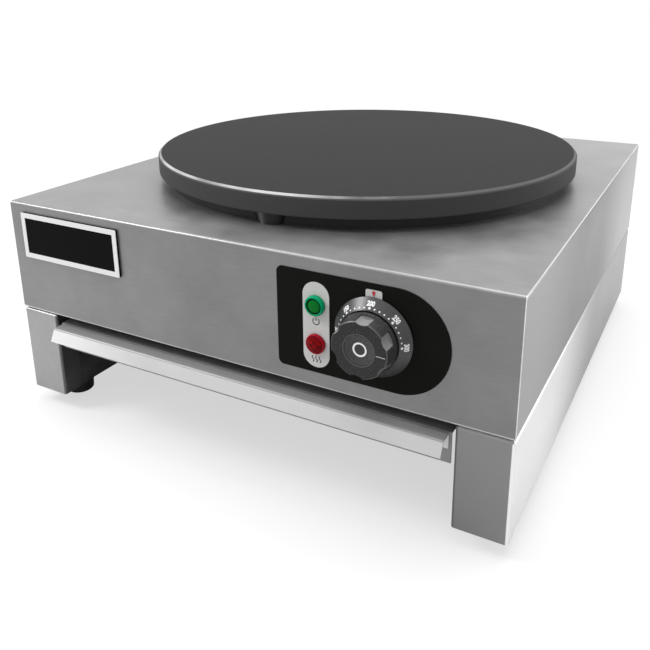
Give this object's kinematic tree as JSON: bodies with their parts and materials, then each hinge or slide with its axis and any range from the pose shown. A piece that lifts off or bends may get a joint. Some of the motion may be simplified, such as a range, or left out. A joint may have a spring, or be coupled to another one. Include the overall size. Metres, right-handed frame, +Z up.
{
  "type": "electric crepe maker",
  "caption": "Countertop electric crepe maker: round flat griddle on a folded steel body with side legs, a front thermostat dial, indicator lamps and a pull-out drip tray.",
  "frame": {"origin": "middle of the footprint on the table top, under the feet", "axes": "+X to the right seen from the front, +Y to the back, +Z up"},
  "size_m": [0.45, 0.5252, 0.2225],
  "materials": {
    "brushed_steel": "fine-grained brushed stainless sheet with bright folded edges",
    "inner_steel": "dull sheet steel, darker where it sits under the body",
    "griddle_iron": "matte black cast iron with a turned rim",
    "black_enamel": "black heat-proof coating",
    "zinc_fastener": "bright zinc plating",
    "foot_rubber": "black rubber",
    "element_sheath": "oxidised steel tube",
    "ceramic": "white glazed ceramic",
    "insulation": "pressed mineral fibre",
    "copper": "drawn copper",
    "thermostat_plastic": "black moulded thermoset",
    "dial_satin": "satin dark grey with white scale marks",
    "knob_gloss": "glossy black moulding",
    "cap_silver": "bright ring around a dark disc",
    "panel_film": "black speckled film",
    "label_film": "pale grey printed film",
    "mark_red": "printed red",
    "green_lens": "clear green lens with a moulded pattern",
    "red_lens": "clear red lens with a moulded pattern",
    "plate_black": "glossy black, left bare",
    "plate_white": "white raised border",
    "gland_black": "black nylon",
    "brass": "turned brass",
    "wire_sleeve": "silicone wire sleeve"
  },
  "bodies": {
    "chassis": {"top_casing": "brushed_steel", "left_side_cover": "brushed_steel", "right_side_cover": "brushed_steel", "left_leg": "brushed_steel", "right_leg": "brushed_steel", "base_plate": "inner_steel", "left_leg_inner_plate": "inner_steel", "right_leg_inner_plate": "inner_steel", "left_tray_rail": "inner_steel", "right_tray_rail": "inner_steel", "heater_pan": "inner_steel", "griddle_plate": "griddle_iron", "plate_bosses": "griddle_iron", "heat_guard_ring": "black_enamel", "foot_screws": "zinc_fastener", "foot_nuts": "zinc_fastener", "leg_washers": "zinc_fastener", "leg_screws": "zinc_fastener", "leg_nuts": "zinc_fastener", "base_screws": "zinc_fastener", "rail_rivets": "zinc_fastener", "plate_studs": "zinc_fastener", "plate_nuts": "zinc_fastener", "element_clamp": "zinc_fastener", "clamp_stud": "zinc_fastener", "clamp_nut": "zinc_fastener", "limit_cutout": "zinc_fastener", "thermostat_screws": "zinc_fastener", "front_left_foot": "foot_rubber", "front_right_foot": "foot_rubber", "rear_left_foot": "foot_rubber", "rear_right_foot": "foot_rubber", "heating_element": "element_sheath", "terminal_insulators": "ceramic", "insulation_disc": "insulation", "sensor_bulb": "copper", "capillary_tube": "copper", "thermostat_body": "thermostat_plastic", "lamp_holders": "thermostat_plastic", "terminal_block": "thermostat_plastic", "control_overlay": "panel_film", "indicator_label": "label_film", "pointer_tab": "label_film", "pointer_mark": "mark_red", "power_lamp_lens": "green_lens", "heat_lamp_lens": "red_lens", "nameplate_backing": "plate_black", "nameplate_border": "plate_white", "cable_gland": "gland_black", "gland_locknut": "gland_black", "earth_stud": "brass", "wiring": "wire_sleeve"},
    "tray": {"tray_pan": "inner_steel", "tray_handle": "brushed_steel", "handle_rivets": "zinc_fastener"},
    "dial": {"dial_spindle": "zinc_fastener", "dial_skirt": "dial_satin", "knob_body": "knob_gloss", "knob_cap": "cap_silver"}
  },
  "joints": [
    {"name": "tray_slide", "type": "slide", "parent": "chassis", "child": "tray", "axis": [0, -1, 0], "range_m": [0, 0.4]},
    {"name": "dial_turn", "type": "hinge", "parent": "chassis", "child": "dial", "pos_m": [0.1253, -0.2388, 0.146], "axis": [0, 1, 0], "range_deg": [-90, 165]}
  ]
}
